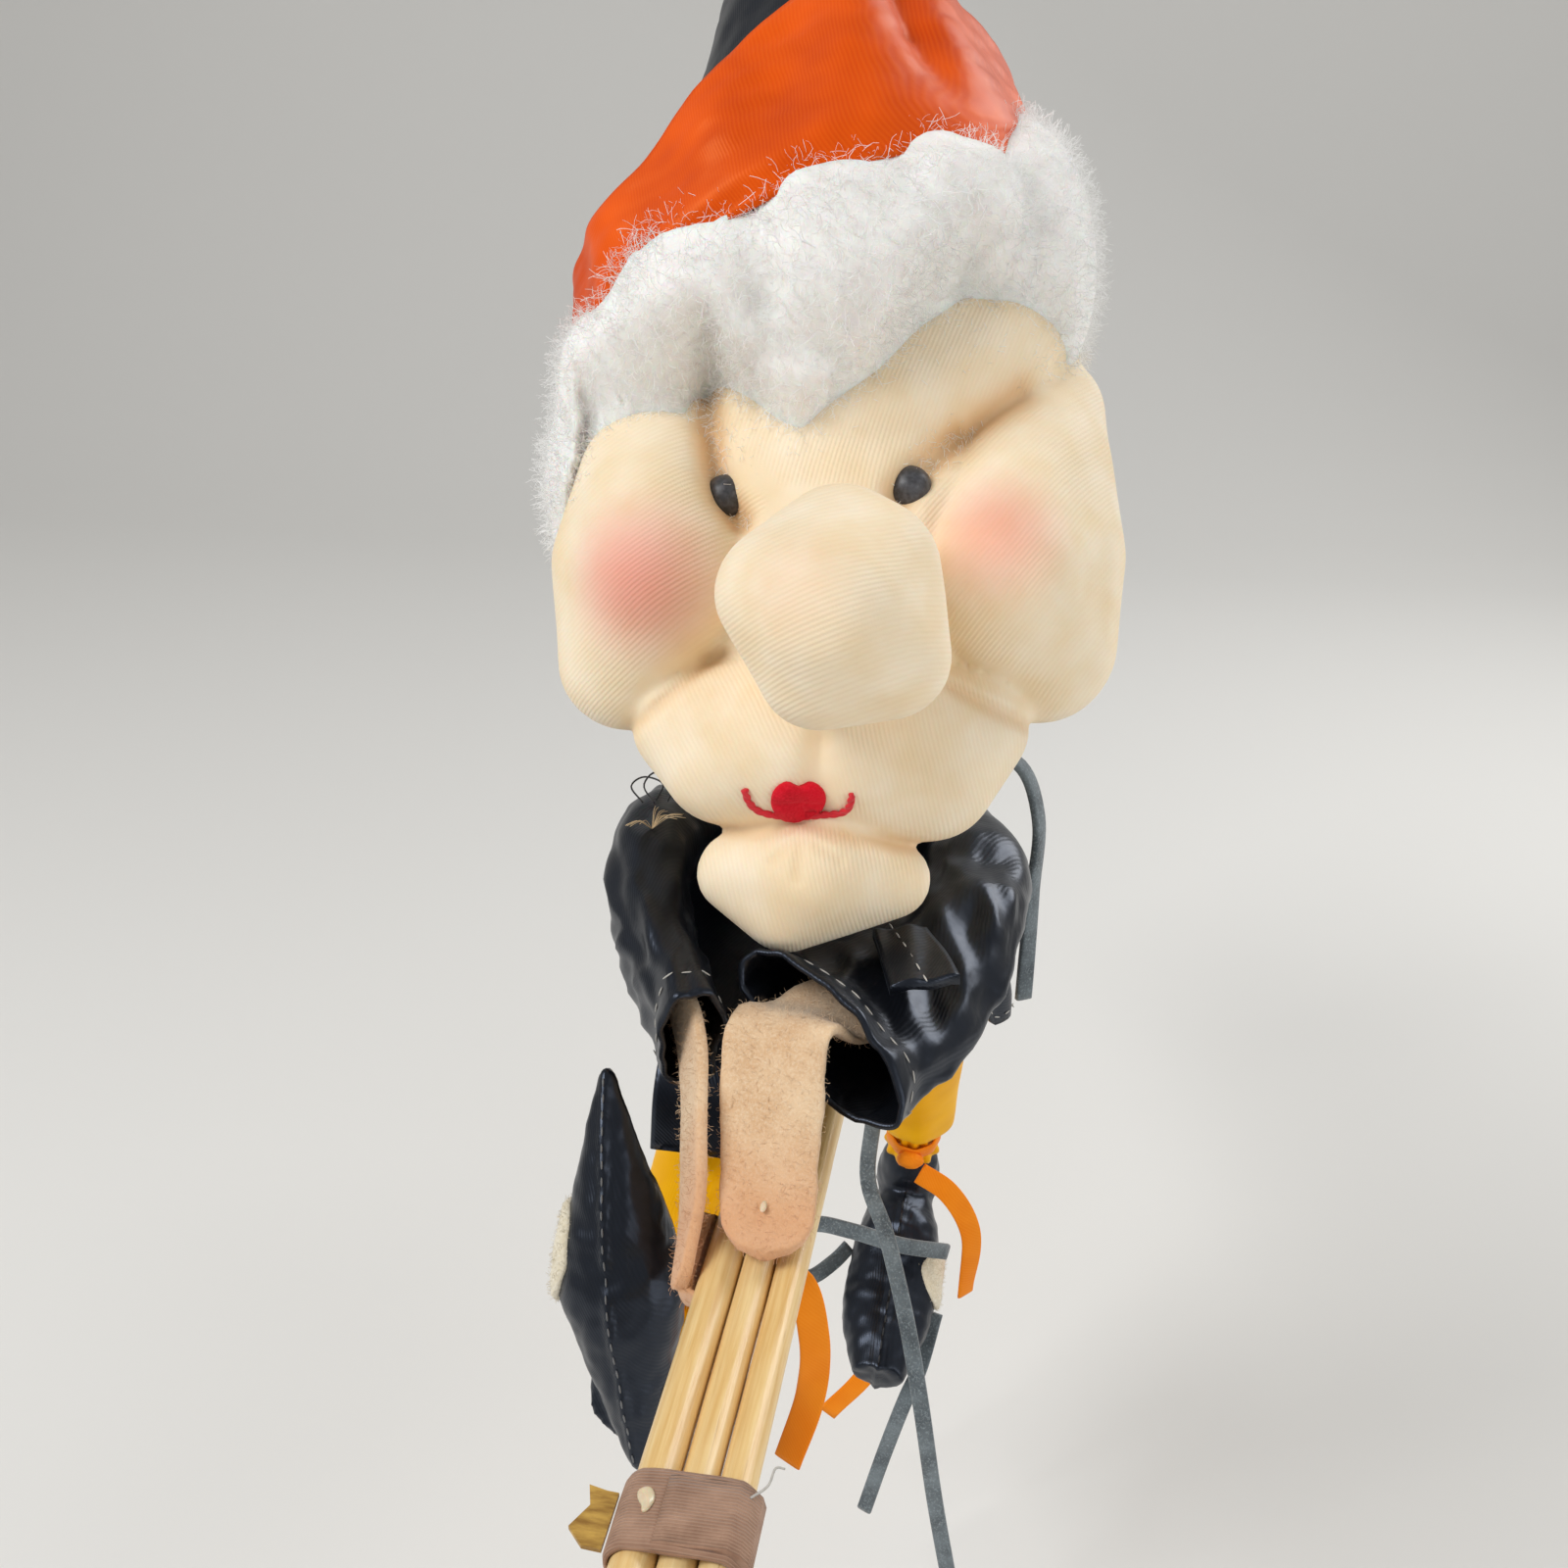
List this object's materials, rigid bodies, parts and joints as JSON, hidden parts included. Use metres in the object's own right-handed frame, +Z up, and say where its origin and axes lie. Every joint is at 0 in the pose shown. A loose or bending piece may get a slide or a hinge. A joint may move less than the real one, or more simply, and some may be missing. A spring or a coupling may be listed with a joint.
{
  "type": "witch doll",
  "caption": "Soft-sculpted witch doll sitting astride a straw broom, with a pointed hat, satin clothes, felt hands and ribbon-tied boots; head, legs and feet turn.",
  "frame": {"origin": "the point at the back of the gathered collar by which the doll hangs", "axes": "+Z up, -Y the way the broom's front end and the doll's face point, +X the doll's left"},
  "size_m": [0.0974, 0.3876, 0.3798],
  "materials": {
    "reed": "varnished reed",
    "brown_ribbon": "matt ribbed ribbon",
    "paper_tab": "stiffened tab",
    "straw": "dry straw",
    "black_satin": "satin",
    "orange_satin": "satin",
    "yellow_satin": "satin",
    "orange_ribbon": "satin ribbon",
    "muslin": "matt",
    "nylon_skin": "knitted nylon over stuffing",
    "batting": "brushed batting",
    "hand_felt": "felt",
    "red_felt": "felt",
    "dark_bead": "satin bead",
    "cream_felt": "felt",
    "suede": "suede lace"
  },
  "bodies": {
    "body": {"broom_stick_left": "reed", "broom_stick_middle": "reed", "broom_stick_right": "reed", "front_binding": "brown_ribbon", "binding_tab": "paper_tab", "broom_brush": "straw", "brush_tie": "brown_ribbon", "torso": "muslin", "dress": "black_satin", "left_sleeve": "black_satin", "right_sleeve": "black_satin", "left_arm": "hand_felt", "right_arm": "hand_felt", "neckline_strip": "black_satin", "neck_lace": "suede"},
    "neck": {"neck": "nylon_skin"},
    "head": {"head": "nylon_skin", "left_eye": "dark_bead", "right_eye": "dark_bead", "lips": "red_felt", "hair": "batting", "hat_cone": "black_satin", "hat_brim": "black_satin", "hat_brim_lining": "orange_satin"},
    "left_leg": {"left_trouser_leg": "yellow_satin", "left_ankle_ribbon": "orange_ribbon", "left_ribbon_tail_front": "orange_ribbon", "left_ribbon_tail_back": "orange_ribbon"},
    "left_foot": {"left_boot": "black_satin", "left_boot_patch": "cream_felt", "boot_lace_loop": "suede", "boot_lace_long_tail": "suede", "boot_lace_short_tail": "suede"},
    "right_leg": {"right_trouser_leg": "yellow_satin", "right_ankle_ribbon": "orange_ribbon", "right_ribbon_tail": "orange_ribbon"},
    "right_foot": {"right_boot": "black_satin", "right_boot_patch": "cream_felt"}
  },
  "joints": [
    {"name": "head_turn", "type": "hinge", "parent": "body", "child": "neck", "pos_m": [0, -0.0105, 0.009], "axis": [0, 0, 1], "range_deg": [-6, 6]},
    {"name": "head_nod", "type": "hinge", "parent": "neck", "child": "head", "pos_m": [0, -0.0105, 0.009], "axis": [1, 0, 0], "range_deg": [-12, 0]},
    {"name": "left_leg_swing", "type": "hinge", "parent": "body", "child": "left_leg", "pos_m": [0.0175, -0.0125, -0.033], "axis": [1, 0, 0], "range_deg": [-35, 15]},
    {"name": "left_ankle", "type": "hinge", "parent": "left_leg", "child": "left_foot", "pos_m": [0.01119, 0.03074, -0.11168], "axis": [1, 0, 0], "range_deg": [-15, 15]},
    {"name": "right_leg_swing", "type": "hinge", "parent": "body", "child": "right_leg", "pos_m": [-0.0175, -0.0125, -0.033], "axis": [1, 0, 0], "range_deg": [-3, 65]},
    {"name": "right_ankle", "type": "hinge", "parent": "right_leg", "child": "right_foot", "pos_m": [-0.0183, -0.0964, -0.06556], "axis": [1, 0, 0], "range_deg": [-15, 15]}
  ]
}
